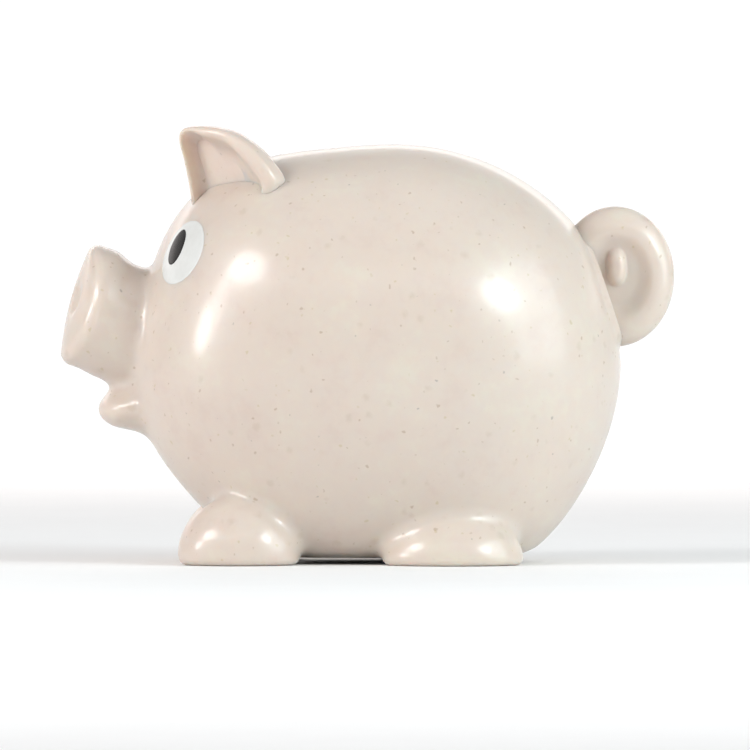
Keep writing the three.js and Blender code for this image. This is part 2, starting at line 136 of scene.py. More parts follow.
print("outline radius at the back, mm:", outline_radius(np.radians([90.0])).round(2))

# %% [markdown]
# ## Snout, lip, collar and feet
#
# The snout is a short cylinder that points a little upwards, with a gently domed front face and a
# rounded rim; behind the rim it narrows slightly before it runs into the face. The lower lip is
# the front of an ellipsoid. A bead round the rump's flat is the collar that the tail stands in.
# Each foot is the top of an ellipsoid. Two shallow hollows are the nostrils.

# %% The lobes
SNOUT_FRONT = (-52.5, 46.8)
SNOUT_BACK = tilted(-18.9)
FACE_BACK = tilted(-15.2)
SNOUT_RADIUS, SNOUT_EDGE, SNOUT_LENGTH = 11.1, 1.7, 30
NECK_FROM, NECK_TO, NECK_DROP, NECK_IN = 3.5, 8, 0.9, 0.4
FACE_DOME, FACE_FALL = 1.1, 4.4
NOSTRIL_DEPTH, NOSTRIL_SIDE, NOSTRIL_UP, NOSTRIL_HALF = 1.3, 4.1, 0.3, (1.7, 2.6)
LIP = ((-42.6, 27.6), (5.9, 8.5, 3.7))
FEET = [((-23, 18.5, 2.2), (10.9, 9, 10)), ((15.2, 19.5, 0.6), (12.6, 9.5, 9.6))]
COLLAR_RADIUS, COLLAR_SINK, COLLAR_BEAD = 8.3, 0.7, 1.4
SNOUT_FILLET, LIP_FILLET, FOOT_FILLET, COLLAR_FILLET = 2, 4, 3, 1.6


def snout(x, y, z):
    """A tilted cylinder, narrowed behind its rim, cut by a face that falls back to the sides."""
    dx, dz = x - SNOUT_FRONT[0], z - SNOUT_FRONT[1]
    along = dx * SNOUT_BACK[0] + dz * SNOUT_BACK[1]
    up = dz * SNOUT_BACK[0] - dx * SNOUT_BACK[1]
    neck = smooth(along, NECK_FROM, NECK_TO)
    side = np.hypot(up + NECK_DROP * neck, y) - (SNOUT_RADIUS - NECK_IN * neck)
    dome = FACE_DOME * (1 - (up / SNOUT_RADIUS) ** 2) - FACE_FALL * (y / SNOUT_RADIUS) ** 2
    face = -(dx * FACE_BACK[0] + dz * FACE_BACK[1]) - dome
    beside, above = (np.abs(y) - NOSTRIL_SIDE) / NOSTRIL_HALF[0], (up - NOSTRIL_UP) / NOSTRIL_HALF[1]
    nostril = NOSTRIL_DEPTH * np.exp(-(beside**2) - above**2)
    return np.maximum(round_off(side, face + nostril, SNOUT_EDGE), along - SNOUT_LENGTH)


def collar(x, y, z):
    """Distance to a ring laid round the rump's flat, a little sunk in it."""
    out, up = rump_plane(x, z)
    return np.hypot(np.hypot(up, y) - COLLAR_RADIUS, out + COLLAR_SINK) - COLLAR_BEAD


def skin(x, y, z):
    """All the lobes joined with fillets: small round the snout and collar, wider at lip and feet."""
    d = blend_in(torso(x, y, z), snout(x, y, z), SNOUT_FILLET)
    (lip_x, lip_z), half = LIP
    d = blend_in(d, lobe(x - lip_x, y, z - lip_z, half), LIP_FILLET)
    for (fx, fy, fz), half in FEET:
        d = blend_in(d, lobe(x - fx, np.abs(y) - fy, z - fz, half), FOOT_FILLET)
    return blend_in(d, collar(x, y, z), COLLAR_FILLET)


print("snout rim radius, mm:", SNOUT_RADIUS, " feet:", 2 * len(FEET))

# %% [markdown]
# ## From a field to a surface
#
# The space is cut into small cubes. Each cube that the skin passes through gets one point, at the
# mean of where the skin crosses the cube's edges, and each crossed grid edge gives a face between
# the four cubes round it. The points are then moved along the field's slope until they lie on the
# skin, and evened out between their neighbours. It all runs on whole arrays.


# %% Level surface of a field
def level_surface(field, low, high, step):
    """One point per crossed cube and one quad per crossed grid edge, on the level zero."""
    axes = [np.arange(a, b + step, step) for a, b in zip(low, high)]
    value = field(*np.meshgrid(*axes, indexing="ij"))
    inside = value < 0
    size = np.array(value.shape) - 1
    corners = np.array([(i, j, k) for i in (0, 1) for j in (0, 1) for k in (0, 1)])

    def corner(c):
        return tuple(slice(o, o + n) for o, n in zip(c, size))

    total = np.zeros((*size, 3))
    count = np.zeros(size)
    for a in corners:
        for axis in np.flatnonzero(a == 0):
            b = a + np.eye(3, dtype=int)[axis]
            fa, fb = value[corner(a)], value[corner(b)]
            crossed = (fa < 0) != (fb < 0)
            share = np.where(crossed, fa / np.where(crossed, fa - fb, 1), 0)
            total += crossed[..., None] * (a + share[..., None] * (b - a))
            count += crossed
    used = count > 0
    number = np.full(size, -1)
    number[used] = np.arange(used.sum())
    points = np.array(low) + step * (np.argwhere(used) + total[used] / count[used][:, None])
    quads = []
    for axis in range(3):
        one = np.eye(3, dtype=int)
        b, c = one[(axis + 1) % 3], one[(axis + 2) % 3]
        start = np.moveaxis(inside, axis, 0)[:-1]
        stop = np.moveaxis(inside, axis, 0)[1:]
        edge = np.moveaxis(start != stop, 0, axis)
        at = np.argwhere(edge)
        at = at[((at > 0) | (one[axis] == 1)).all(1)]
        ring = np.stack([number[tuple((at - o).T)] for o in (b + c, c, 0 * b, b)], 1)
        outward = inside[tuple(at.T)]
        quads.append(np.where(outward[:, None], ring, ring[:, ::-1]))
    return points, np.concatenate(quads)


def slope_at(field, points, h=0.02):
    """The field's rate of change along x, y and z, from the values h to either side."""
    steps = h * np.eye(3)
    sides = [field(*(points + s).T) - field(*(points - s).T) for s in steps]
    return np.stack(sides, 1) / (2 * h)


def settle(field, points, rounds=3):
    """Newton's step along the slope, p - f g / |g|^2, until the points lie on the skin."""
    for _ in range(rounds):
        g = slope_at(field, points)
        away = field(*points.T) / np.maximum((g**2).sum(1), 1e-6)
        points = points - np.clip(away, -1, 1)[:, None] * g
    return points


def even_out(field, points, quads, rounds=8):
    """Each point goes halfway to the mean of its neighbours, and back onto the skin."""
    ends = np.concatenate([quads[:, [i, (i + 1) % 4]] for i in range(4)])
    degree = np.bincount(ends[:, 0], minlength=len(points))
    for _ in range(rounds):
        sums = [np.bincount(ends[:, 0], points[ends[:, 1], k], len(points)) for k in range(3)]
        mean = np.stack(sums, 1) / degree[:, None]
        points = settle(field, points + 0.5 * (mean - points), 1)
    return settle(field, points, 2)


# %% Meshes from arrays
def mesh_object(name, points, faces, smooth_faces=True):
    """An object at the origin from points in millimetres and a list or array of faces."""
    mesh = bpy.data.meshes.new(name)
    mesh.from_pydata((np.asarray(points) * MM).tolist(), [], [list(map(int, f)) for f in faces])
    mesh.polygons.foreach_set("use_smooth", [smooth_faces] * len(mesh.polygons))
    mesh.validate()
    made = bpy.data.objects.new(name, mesh)
    bpy.context.scene.collection.objects.link(made)
    return made


def wrap_grid(rows, columns, closed=True):
    """Quads of a grid of points, row after row, whose columns close on themselves."""
    i, j = np.meshgrid(np.arange(rows - 1), np.arange(columns if closed else columns - 1), indexing="ij")
    k = (j + 1) % columns
    grid = np.stack([i * columns + j, i * columns + k, (i + 1) * columns + k, (i + 1) * columns + j], -1)
    return grid.reshape(-1, 4)


def turned(name, profile, centre, steps=96):
    """A profile of radius and height, from axis to axis, carried round an upright axis."""
    profile = np.array(profile, float)
    angle = 2 * np.pi * np.arange(steps) / steps
    radius, height = profile[1:-1, 0], profile[1:-1, 1]
    x = centre[0] + radius[:, None] * np.cos(angle)
    y = centre[1] + radius[:, None] * np.sin(angle)
    z = np.repeat(height[:, None], steps, 1)
    points = np.stack([x, y, z], -1).reshape(-1, 3)
    ends = [[centre[0], centre[1], profile[0, 1]], [centre[0], centre[1], profile[-1, 1]]]
    quads = wrap_grid(len(radius), steps)
    first, last = len(points), len(points) + 1
    a = np.arange(steps)
    b = (a + 1) % steps
    top = (len(radius) - 1) * steps
    caps = [(first, j, i) for i, j in zip(a, b)] + [(last, top + i, top + j) for i, j in zip(a, b)]
    return mesh_object(name, np.concatenate([points, ends]), [*quads, *caps])

# %% [markdown]
# ## The two half shells
#
# A moulder would cut the same cavity twice, mirrored. Here the skin, with the coin slot and its
# rounded edges already in the field, is one closed surface; a second one, a wall's thickness
# further in, is the hollow. Booleans take the hollow, the belly hatch and everything beyond the
# seam away, and the other half is the mirror image.

# %% Skin with its slot, and the hollow
WALL = 2.2
SEAM = 0.05
SLOT_X, SLOT_LENGTH, SLOT_WIDTH, SLOT_FLOOR, SLOT_EDGE = 2.0, 34.0, 4.6, 62, 0.8
SOLE_EDGE = 1.3
HATCH_X, HATCH_HOLE, HATCH_SEAT, SEAT_TOP = -3.0, 12.6, 14.8, 3.4
RIM_RADIUS, RIM_LOW, RIM_HIGH, NOTCH_RADIUS = 17, 2.6, 5.6, 4


def slotted(x, y, z):
    """The skin with a round-ended slot cut down from above and flat soles, their edges rounded."""
    straight = (SLOT_LENGTH - SLOT_WIDTH) / 2
    beside = np.hypot(np.maximum(np.abs(x - SLOT_X) - straight, 0), y) - SLOT_WIDTH / 2
    cut = np.maximum(beside, SLOT_FLOOR - z)
    return round_off(round_off(skin(x, y, z), -cut, SLOT_EDGE), -z, SOLE_EDGE)


def hollow(x, y, z):
    """The skin drawn in by the wall, with a floor as thick as the wall."""
    return np.maximum(skin(x, y, z) + WALL, BELLY_Z + WALL - z)


outer_points, outer_faces = level_surface(slotted, (-58, -36.4, -1.4), (50, 36.4, 79), 0.7)
outer_points = even_out(slotted, outer_points, outer_faces, 5)
inner_points, inner_faces = level_surface(hollow, (-56, -35, 1.4), (48, 35, 77), 1.4)
inner_points = even_out(hollow, inner_points, inner_faces, 3)
print("outer skin:", len(outer_points), "points; hollow:", len(inner_points), "points")


# %% Cut, split and mirror
def cut_by(piece, cutter, operation="DIFFERENCE"):
    """Applies one boolean and removes the cutter."""
    boolean = piece.modifiers.new("cut", "BOOLEAN")
    boolean.operation = operation
    boolean.solver = "EXACT"
    boolean.object = cutter
    made = bpy.data.meshes.new_from_object(piece.evaluated_get(bpy.context.evaluated_depsgraph_get()))
    piece.modifiers.clear()
    piece.data = made
    bpy.data.objects.remove(cutter)
    return piece


def block(name, low, high):
    """A closed box between two corners."""
    corners = [(x, y, z) for x in (low[0], high[0]) for y in (low[1], high[1]) for z in (low[2], high[2])]
    faces = [(0, 1, 3, 2), (4, 6, 7, 5), (0, 4, 5, 1), (2, 3, 7, 6), (0, 2, 6, 4), (1, 5, 7, 3)]
    return mesh_object(name, corners, faces, False)


def crisp(piece, angle=38):
    """Smooth shading, except across edges sharper than the angle in degrees."""
    piece.data.shade_smooth()
    piece.data.set_sharp_from_angle(angle=np.radians(angle))
    return piece


shell = mesh_object("left_half_shell", outer_points, outer_faces)
cut_by(shell, mesh_object("hollow", inner_points, inner_faces))
rim_profile = [(0, RIM_LOW), (RIM_RADIUS, RIM_LOW), (RIM_RADIUS, RIM_HIGH), (0, RIM_HIGH)]
rim = turned("rim", rim_profile, (HATCH_X, 0))
cut_by(shell, rim, "UNION")
hatch = [(0, -3), (HATCH_SEAT, -3), (HATCH_SEAT, SEAT_TOP), (HATCH_HOLE, SEAT_TOP), (HATCH_HOLE, 9), (0, 9)]
cut_by(shell, turned("hatch", hatch, (HATCH_X, 0)))
notch = [(0, -3), (NOTCH_RADIUS, -3), (NOTCH_RADIUS, RIM_LOW), (0, RIM_LOW)]
cut_by(shell, turned("notch", notch, (HATCH_X + HATCH_SEAT, 0)))
cut_by(shell, block("far_half", (-80, -SEAM, -20), (80, 80, 120)))
crisp(shell)


def mirrored(piece, name):
    """The same mesh on the other side of the seam: y changes sign and faces turn round."""
    made = piece.copy()
    made.data = piece.data.copy()
    made.name = made.data.name = name
    places = np.empty(3 * len(made.data.vertices))
    made.data.vertices.foreach_get("co", places)
    places[1::3] *= -1
    made.data.vertices.foreach_set("co", places)
    made.data.flip_normals()
    bpy.context.scene.collection.objects.link(made)
    return made


other_shell = mirrored(shell, "right_half_shell")
for side, piece in (("left", shell), ("right", other_shell)):
    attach(piece, "bank")
    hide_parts(f"{side}_shell")
print("half shell faces:", len(shell.data.polygons))

# %% [markdown]
# ## The ears
#
# Each ear is a cupped leaf, turned forwards and leaning outwards, with a rounded rim round a
# smooth floor.
# One section of it, from the middle of the cup out over the rim and back along the rear face, is
# carried round the outline like the ribs of a fan. The ribs start inside the head, so the head
# itself closes the bottom of the cup.


# %% Smooth lines through a few points
def through(points, count):
    """Catmull-Rom curve: passes through every point, its direction there parallel to the chord
    between the two neighbours. Works along the first axis of any array."""
    p = np.asarray(points, float)
    p = np.concatenate([2 * p[:1] - p[1:2], p, 2 * p[-1:] - p[-2:-1]])
    t = np.linspace(0, len(p) - 3, count)
    i = np.minimum(t.astype(int), len(p) - 4)
    f = (t - i).reshape(-1, *[1] * (p.ndim - 1))
    a, b, c, d = p[i], p[i + 1], p[i + 2], p[i + 3]
    return b + f / 2 * (c - a + f * (2 * a - 5 * b + 4 * c - d + f * (3 * (b - c) + d - a)))


# %% One ear
EAR_BASE = (-23.5, -13.4, 64.5)
EAR_YAW = np.radians(38)
EAR_LEAN = 0.26
# side view of the middle of the leaf, x and z, front of the base to its rear
EAR_OUTLINE = [
    (-29.8, 60.5), (-31.0, 64.5), (-31.5, 68), (-32.4, 72.5), (-33.3, 76.3), (-32.3, 78.1), (-28.5, 78.4),
    (-24.6, 77.6), (-21.0, 75.2), (-18.2, 72.2), (-16.4, 69.2), (-16.4, 66.6), (-17.4, 64.0), (-19.0, 60.5),
]
# the section: share of the way to the edge, distance in from the edge, height over the leaf's middle
EAR_SECTION = [
    (0, 0, -1.1), (0.3, 0, -1.1), (0.5, 0, -1.15), (1, 5.8, -1.05), (1, 4.5, -0.7), (1, 3.4, 0.1),
    (1, 2.6, 1.2), (1, 1.9, 2.15), (1, 1.15, 2.5), (1, 0.5, 2.25), (1, 0.1, 1.6), (1, 0, 0.6), (1, 0, -0.8),
    (1, 0.25, -1.7), (1, 0.9, -2.3), (1, 1.8, -2.6), (0.5, 0, -2.8), (0, 0, -2.9),
]


def ear(name):
    """Point = base + direction x (share x reach - inset) + out x height, for each rib of the fan.
    S-curves make the inset, and so the rim, narrow along the front edge and wide behind. The leaf
    leans outwards: its height over the base adds to the height of the section."""
    outline = through(EAR_OUTLINE, 160)
    up = outline[:, 1] - EAR_BASE[2]
    across = (outline[:, 0] - EAR_BASE[0] + EAR_LEAN * up * np.sin(EAR_YAW)) / np.cos(EAR_YAW)
    reach = np.hypot(across, up)
    rib = through(EAR_SECTION, 100)
    width = 0.55 + 0.45 * smooth(across, -7.5, -3.5) + 0.35 * smooth(across, 1, 7)
    scale = (np.clip(reach / 9, 0.3, 1) * width)[:, None]
    along = rib[None, :, 0] * reach[:, None] - rib[None, :, 1] * scale
    s = along * (across / reach)[:, None]
    t = along * (up / reach)[:, None]
    lift = rib[None, :, 2] + EAR_LEAN * t - 0.012 * s**2
    x = EAR_BASE[0] + s * np.cos(EAR_YAW) - lift * np.sin(EAR_YAW)
    y = EAR_BASE[1] - s * np.sin(EAR_YAW) - lift * np.cos(EAR_YAW)
    z = EAR_BASE[2] + t
    points = np.stack([x, y, z], -1)
    rows, columns = points.shape[:2]
    grid = wrap_grid(rows, columns, closed=False)
    first = np.arange(columns)
    last = (rows - 1) * columns + np.arange(columns)
    made = mesh_object(name, points.reshape(-1, 3), [*grid, list(first), list(last[::-1])])
    return tidy(made)


def tidy(piece):
    """Merges doubled points and turns every face outwards."""
    work = bmesh.new()
    work.from_mesh(piece.data)
    bmesh.ops.remove_doubles(work, verts=work.verts, dist=1e-6)
    bmesh.ops.recalc_face_normals(work, faces=work.faces)
    work.to_mesh(piece.data)
    work.free()
    return piece


left_ear = crisp(ear("left_ear_leaf"), 60)
right_ear = mirrored(left_ear, "right_ear_leaf")
for side, piece in (("left", left_ear), ("right", right_ear)):
    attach(piece, "bank")
    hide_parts(f"{side}_ear")
print("ear faces:", len(left_ear.data.polygons))

# %% [markdown]
# ## The tail
#
# The tail is moulded flat: one round outer turn with a thin web inside it and the curl's end
# standing up in the middle. Seen from the side it is a field of thicknesses, the same to the left
# and to the right, so a sphere's grid squeezed to that thickness closes on itself round the edge.

# %% The curl
TAIL_MIDDLE = (44.5, 51.4)
TAIL_HALF = (10.6, 12.6)
RING_MIDDLE, RING, WEB, END = 0.66, 3.6, 2.3, 4.1
END_PLACE, END_HALF = (0.2, 1.7), (2.05, 3.7)


def tail_half_thickness(share, x, z):
    """Largest of a ring that slopes gently inwards, a web and the curl's end, with fillets."""
    outer, inner = (share - RING_MIDDLE) / (1 - RING_MIDDLE), (RING_MIDDLE - share) / 0.5
    round_side, slope = np.sqrt(np.clip(1 - outer**2, 0, 1)), 1 - smooth(inner, 0, 1)
    ring = RING * np.where(share > RING_MIDDLE, round_side, slope)
    web = WEB * smooth(1 - share, 0.02, 0.3)
    beside, above = np.abs(x - END_PLACE[0]) / END_HALF[0], np.abs(z - END_PLACE[1]) / END_HALF[1]
    oval = (beside**2.4 + above**2.4) ** (1 / 2.4)
    end = END * np.clip(1 - oval**3, 0, 1) ** 0.4
    return -blend_in(blend_in(-ring, -web, 1.2), -end, 0.6 * smooth(1 - share, 0.05, 0.3) + 1e-6)


def curl(name, rows=160, columns=240):
    """Point = middle + half size x sin(t) (cos a, sin a), and y = -thickness x sign(cos t)."""
    t = np.linspace(0, np.pi, rows)[1:-1, None]
    a = 2 * np.pi * np.arange(columns)[None, :] / columns
    share = np.sin(t) + 0 * a
    x, z = TAIL_HALF[0] * share * np.cos(a), TAIL_HALF[1] * share * np.sin(a)
    y = -np.sign(np.cos(t)) * tail_half_thickness(share, x, z)
    points = np.stack([TAIL_MIDDLE[0] + x, y, TAIL_MIDDLE[1] + z], -1).reshape(-1, 3)
    pole = tail_half_thickness(np.zeros(1), np.zeros(1), np.zeros(1))[0]
    poles = [[TAIL_MIDDLE[0], -pole, TAIL_MIDDLE[1]], [TAIL_MIDDLE[0], pole, TAIL_MIDDLE[1]]]
    quads = wrap_grid(rows - 2, columns)
    near, far = len(points), len(points) + 1
    i = np.arange(columns)
    j = (i + 1) % columns
    top = (rows - 3) * columns
    caps = [(near, b, c) for b, c in zip(j, i)] + [(far, top + b, top + c) for b, c in zip(i, j)]
    return tidy(mesh_object(name, np.concatenate([points, poles]), [*quads, *caps]))


tail = crisp(curl("curled_tail"), 60)
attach(tail, "bank")
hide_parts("tail")
print("tail faces:", len(tail.data.polygons))

# %% [markdown]
# ## The eyes
#
# Each eye is printed on the skin: a round white and, on it, an upright oval pupil that looks a
# little ahead. Printed ink has a thickness of its own, so each is a thin lens that follows the
# skin: rings of points laid on the plane that touches the skin there, then dropped onto it.


# %% Ink laid on the skin
EYE_START, INK_BELOW = (-33.5, -34.0, 56.0), 0.25


def first_hit(start, direction, reach):
    """Halves the stretch between outside and inside until it closes on the skin."""
    near, far = np.zeros(len(start)), np.full(len(start), float(reach))
    for _ in range(40):
        middle = (near + far) / 2
        out = skin(*(start + middle[:, None] * direction).T) > 0
        near, far = np.where(out, middle, near), np.where(out, far, middle)
    return start + near[:, None] * direction


def ink(name, half, shift, lift, rings=36, around=120):
    """Point = skin below (shift + half x r (cos a, sin a)), raised by lift and rounded off at r = 1."""
    at = first_hit(np.array([EYE_START]), np.array([0, 1.0, 0]), 34)
    out = slope_at(skin, at)[0]
    out /= np.linalg.norm(out)
    up = np.array([0, 0, 1]) - out[2] * out
    up /= np.linalg.norm(up)
    ahead = np.cross(out, up)
    ahead *= -np.sign(ahead[0])
    r = np.sin(np.linspace(0, np.pi / 2, rings))[1:, None]
    a = 2 * np.pi * np.arange(around)[None, :] / around
    flat_s = shift[0] + half[0] * r * np.cos(a)
    flat_t = shift[1] + half[1] * r * np.sin(a)
    s = np.append(flat_s.ravel(), shift[0])
    t = np.append(flat_t.ravel(), shift[1])
    on_plane = at + s[:, None] * ahead + t[:, None] * up + 6 * out
    on_skin = first_hit(on_plane, -out, 20)
    share = np.append(np.repeat(r.ravel(), around), 0)
    edge = np.sqrt(np.clip(1 - share**16, 0, 1))
    top = on_skin + (lift * edge)[:, None] * out
    below = on_skin - INK_BELOW * out
    n = len(top)
    quads = wrap_grid(rings - 1, around)
    i = np.arange(around)
    j = (i + 1) % around
    rim = (rings - 2) * around
    faces = [*quads, *[(n - 1, b, c) for b, c in zip(j, i)]]
    back = [[n + v for v in f][::-1] for f in faces]
    wall = [(rim + b, rim + c, n + rim + c, n + rim + b) for b, c in zip(i, j)]
    return tidy(mesh_object(name, np.concatenate([top, below]), [*faces, *back, *wall]))


# half size, shift from the eye's middle and thickness of each ink
INKS = {"eye_white": ((6.1, 6.1), (0, 0), 0.07), "pupil": ((2.4, 3.5), (1.9, 0.9), 0.13)}
eye_parts = []
for part, (half, shift, lift) in INKS.items():
    left = crisp(ink(f"left_{part}_ink", half, shift, lift), 60)
    right = mirrored(left, f"right_{part}_ink")
    for side, piece in (("left", left), ("right", right)):
        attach(piece, "bank")
        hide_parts(f"{side}_{part}")
        eye_parts.append(piece)
print("ink pieces:", [p.name for p in eye_parts])

# %% [markdown]
# ## The belly stopper
#
# The stopper is turned: a flange with soft edges that lies in its seat, a dished middle to press
# on, and a thin skirt that grips the hole.

# %% Stopper
FLANGE_BOTTOM, DISH = 1.1, 1.7
stopper_profile = np.concatenate([
    [(0, DISH)],
    through([(2, DISH), (6.5, DISH), (8.2, DISH - 0.1), (9.2, FLANGE_BOTTOM + 0.12), (10.2, FLANGE_BOTTOM),
             (12.6, FLANGE_BOTTOM), (13.9, FLANGE_BOTTOM), (14.35, FLANGE_BOTTOM + 0.18),
             (14.5, FLANGE_BOTTOM + 0.6), (14.5, 2.6), (14.35, 2.98), (13.9, 3.1)], 60),
    through([(12.8, 3.1), (12.4, 3.25), (12.3, 3.7), (12.3, 7.7), (12.1, 8.3), (11.6, 8.5), (11, 8.3),
             (10.6, 7.7), (10.5, 4.0), (10.2, 3.4), (9.4, 3.15)], 60),
    [(0, 3.1)],
])
stopper = crisp(tidy(turned("stopper_plug", stopper_profile, (HATCH_X, 0), 128)), 45)
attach(stopper, "stopper")
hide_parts("belly_stopper")
print("stopper faces:", len(stopper.data.polygons))

# %% [markdown]
# ## The plastic
#
# Straw-filled plastic is cream with a hint of pink, not quite even, and peppered with chopped
# straw in brown, ochre and grey. Two shader node groups hold that look, so that the shells, ears
# and tail share it: one scatters flecks of one size and colour, and one clouds the colour. Light
# enters the plastic a little way, which the material's subsurface setting does, and the outside
# is glossy.


# %% Node helpers
def new_group(name, inputs, outputs):
    """An empty shader node group with named float or vector sockets."""
    group = bpy.data.node_groups.new(name, "ShaderNodeTree")
    for socket, kind in inputs:
        group.interface.new_socket(socket, in_out="INPUT", socket_type=kind)
    for socket, kind in outputs:
        group.interface.new_socket(socket, in_out="OUTPUT", socket_type=kind)
    start = group.nodes.new("NodeGroupInput")
    end = group.nodes.new("NodeGroupOutput")
    return group, start, end


def node(tree, kind, values=None, **settings):
    """A node with its settings and the values of its unlinked inputs."""
    made = tree.nodes.new(kind)
    for key, value in settings.items():
        setattr(made, key, value)
    for key, value in (values or {}).items():
        made.inputs[key].default_value = value
    return made


def calc(tree, operation, a, b=None, clamp=False):
    """A Math node on sockets or numbers."""
    made = tree.nodes.new("ShaderNodeMath")
    made.operation = operation
    made.use_clamp = clamp
    for socket, value in zip(made.inputs, (a, b)):
        if value is None:
            continue
        if isinstance(value, (int, float)):
            socket.default_value = value
        else:
            tree.links.new(value, socket)
    return made.outputs[0]


FLOAT, VECTOR = "NodeSocketFloat", "NodeSocketVector"


# %% Flecks
def fleck_group():
    """Mask of chopped straw: near a cell's own point, in the share of cells that hold a fleck."""
    group, start, end = new_group(
        "chopped_straw",
        [
            ("Place", VECTOR), ("Cells per metre", FLOAT), ("Size", FLOAT), ("Share", FLOAT),
            ("Softness", FLOAT),
        ],
        [("Mask", FLOAT)],
    )
    link = group.links.new
    wobble = node(group, "ShaderNodeTexNoise", {"Scale": 900.0, "Detail": 1.0})
    link(start.outputs["Place"], wobble.inputs["Vector"])
    shift = node(group, "ShaderNodeVectorMath", operation="SCALE", values={3: 0.0011})
    link(wobble.outputs["Color"], shift.inputs[0])
    moved = node(group, "ShaderNodeVectorMath", operation="ADD")
    link(start.outputs["Place"], moved.inputs[0])
    link(shift.outputs[0], moved.inputs[1])
    cells = node(group, "ShaderNodeTexVoronoi", {"Randomness": 1.0})
    link(moved.outputs[0], cells.inputs["Vector"])
    link(start.outputs["Cells per metre"], cells.inputs["Scale"])
    colour = node(group, "ShaderNodeSeparateColor")
    link(cells.outputs["Color"], colour.inputs[0])
    size = calc(group, "MULTIPLY", start.outputs["Size"], calc(group, "ADD", 0.45, colour.outputs[1]))
    edge = calc(group, "SUBTRACT", size, cells.outputs["Distance"])
    spot = calc(group, "DIVIDE", edge, start.outputs["Softness"], clamp=True)
    held = calc(group, "LESS_THAN", colour.outputs[0], start.outputs["Share"])
    link(calc(group, "MULTIPLY", spot, held), end.inputs["Mask"])
    return group


def cloud_group():
    """Two sizes of noise, spread round a half, for uneven colour."""
    inputs = [("Place", VECTOR), ("Broad", FLOAT), ("Fine", FLOAT)]
    group, start, end = new_group("clouding", inputs, [("Value", FLOAT)])
    link = group.links.new
    broad = node(group, "ShaderNodeTexNoise", {"Detail": 3.0, "Roughness": 0.55})
    fine = node(group, "ShaderNodeTexNoise", {"Detail": 4.0, "Roughness": 0.6})
    for noise, scale in ((broad, "Broad"), (fine, "Fine")):
        link(start.outputs["Place"], noise.inputs["Vector"])
        link(start.outputs[scale], noise.inputs["Scale"])
    parts = [calc(group, "MULTIPLY", noise.outputs[0], share) for noise, share in ((broad, 0.6), (fine, 0.4))]
    link(calc(group, "ADD", *parts), end.inputs["Value"])
    return group


STRAW = fleck_group()
CLOUD = cloud_group()
print("node groups:", STRAW.name, CLOUD.name)


# %% Straw-filled plastic
def new_material(name):
    material = bpy.data.materials.new(name)
    material.use_nodes = True
    tree = material.node_tree
    tree.nodes.clear()
    shader = tree.nodes.new("ShaderNodeBsdfPrincipled")
    out = tree.nodes.new("ShaderNodeOutputMaterial")
    tree.links.new(shader.outputs[0], out.inputs[0])
    place = tree.nodes.new("ShaderNodeTexCoord").outputs["Object"]
    return material, tree, shader, place


def group_node(tree, group, place, **values):
    made = tree.nodes.new("ShaderNodeGroup")
    made.node_tree = group
    tree.links.new(place, made.inputs["Place"])
    for key, value in values.items():
        made.inputs[key.replace("_", " ")].default_value = value
    return made


def ramp(tree, source, stops):
    """A Color Ramp with the given places and colours."""
    made = tree.nodes.new("ShaderNodeValToRGB")
    made.color_ramp.interpolation = "EASE"
    while len(made.color_ramp.elements) < len(stops):
        made.color_ramp.elements.new(0.5)
    for element, (at, colour) in zip(made.color_ramp.elements, stops):
        element.position = at
        element.color = (*colour, 1)
    tree.links.new(source, made.inputs[0])
    return made.outputs[0]


def mixed(tree, share, a, b):
    """One colour over another by a mask."""
    made = tree.nodes.new("ShaderNodeMix")
    made.data_type = "RGBA"
    for socket, value in ((made.inputs[0], share), (made.inputs[6], a), (made.inputs[7], b)):
        if isinstance(value, (tuple, float)):
            socket.default_value = (*value, 1) if isinstance(value, tuple) else value
        else:
            tree.links.new(value, socket)
    return made.outputs[2]


# pink to greenish cream, by the clouding's value
CREAM = [(0.32, (0.605, 0.502, 0.442)), (0.5, (0.625, 0.535, 0.468)), (0.68, (0.635, 0.568, 0.485))]
# cells per metre, size in cells, share of cells with a fleck, softness, colour, how much it hides
FLECKS = [
    (500.0, 0.13, 0.6, 0.08, (0.34, 0.23, 0.14), 0.5),
    (420.0, 0.12, 0.55, 0.08, (0.47, 0.38, 0.19), 0.5),
    (340.0, 0.08, 0.5, 0.06, (0.20, 0.18, 0.15), 0.5),
    (250.0, 0.19, 0.85, 0.16, (0.47, 0.38, 0.29), 0.3),
]


def straw_plastic():
    material, tree, shader, place = new_material("straw_filled_plastic")
    clouds = group_node(tree, CLOUD, place, Broad=90.0, Fine=420.0).outputs[0]
    colour = ramp(tree, clouds, CREAM)
    for cells, size, share, softness, tint, cover in FLECKS:
        flecks = group_node(
            tree, STRAW, place, Cells_per_metre=cells, Size=size, Share=share, Softness=softness
        )
        hidden = calc(tree, "MULTIPLY", flecks.outputs["Mask"], cover)
        colour = mixed(tree, hidden, colour, tint)
    tree.links.new(colour, shader.inputs["Base Color"])
    rough = calc(tree, "ADD", 0.29, calc(tree, "MULTIPLY", clouds, 0.08))
    tree.links.new(rough, shader.inputs["Roughness"])
    ripple = group_node(tree, CLOUD, place, Broad=90.0, Fine=700.0).outputs[0]
    bump = node(tree, "ShaderNodeBump", {"Strength": 0.12, "Distance": 0.00012})
    tree.links.new(ripple, bump.inputs["Height"])
    tree.links.new(bump.outputs[0], shader.inputs["Normal"])
    shader.inputs["IOR"].default_value = 1.5
    shader.inputs["Subsurface Weight"].default_value = 0.5
    shader.inputs["Subsurface Radius"].default_value = (1.0, 0.62, 0.42)
    shader.inputs["Subsurface Scale"].default_value = 0.0035
    shader.inputs["Coat Weight"].default_value = 0.35
    shader.inputs["Coat Roughness"].default_value = 0.13
    return material


